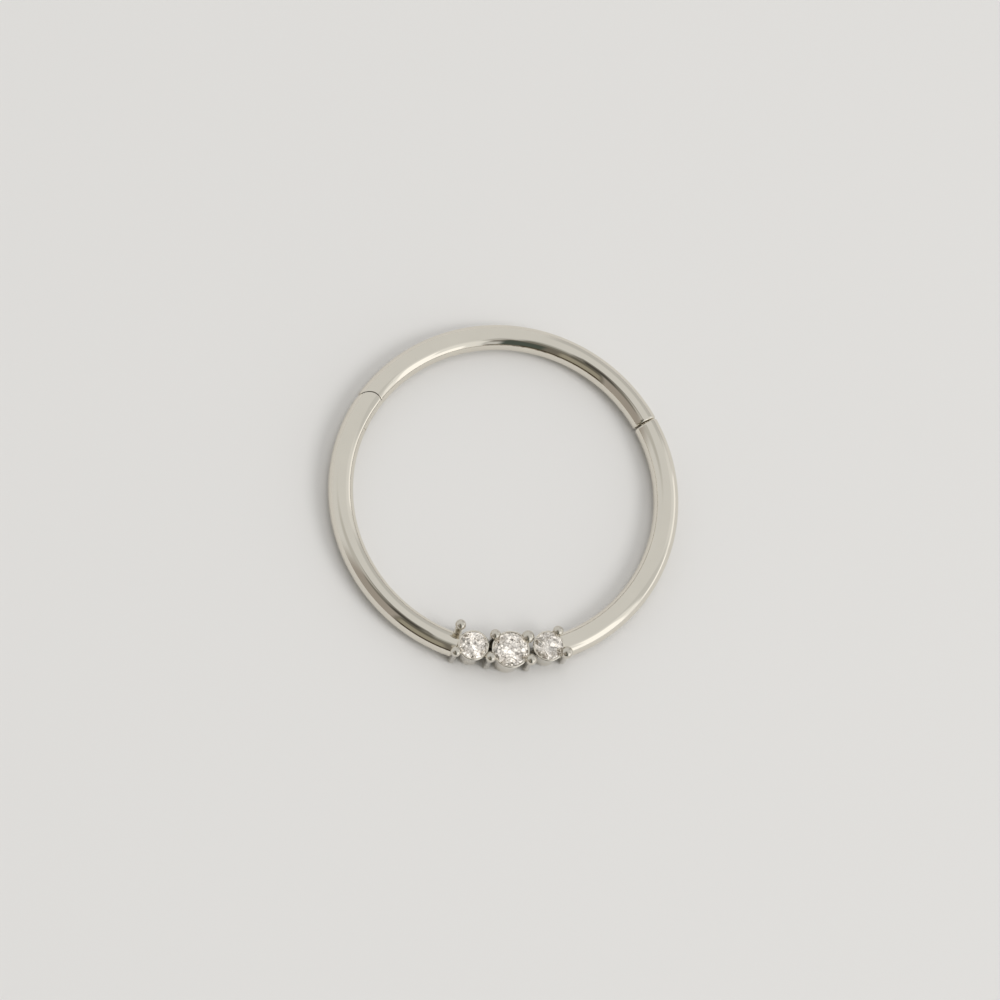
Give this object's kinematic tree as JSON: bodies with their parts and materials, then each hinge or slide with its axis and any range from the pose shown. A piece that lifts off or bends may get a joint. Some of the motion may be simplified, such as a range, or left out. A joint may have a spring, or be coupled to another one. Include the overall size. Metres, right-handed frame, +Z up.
{
  "type": "clicker hoop earring",
  "caption": "Round wire clicker hoop with a hinged arm that clicks shut and a row of round stones in a shared-prong setting.",
  "frame": {"origin": "centre of the hoop, on the surface that it lies on", "axes": "+Z up along the hoop's own axis, the way the stones face; -Y from the centre towards the middle stone; the hinge is at the -X side and the clasp at the +X side, both towards +Y"},
  "size_m": [0.014, 0.0142, 0.0016],
  "materials": {
    "polished_white_metal": "mirror-polished warm white gold",
    "clear_stone": "colourless round brilliant, polished facets"
  },
  "bodies": {
    "hoop": {"hoop_with_setting": "polished_white_metal", "hinge_pin": "polished_white_metal", "stone_left": "clear_stone", "stone_middle": "clear_stone", "stone_right": "clear_stone"},
    "arm": {"swing_arm": "polished_white_metal"}
  },
  "joints": [
    {"name": "arm_hinge", "type": "hinge", "parent": "hoop", "child": "arm", "pos_m": [-0.00539, 0.00336, 0.0005], "axis": [0, 0, 1], "range_deg": [0, 45]}
  ]
}
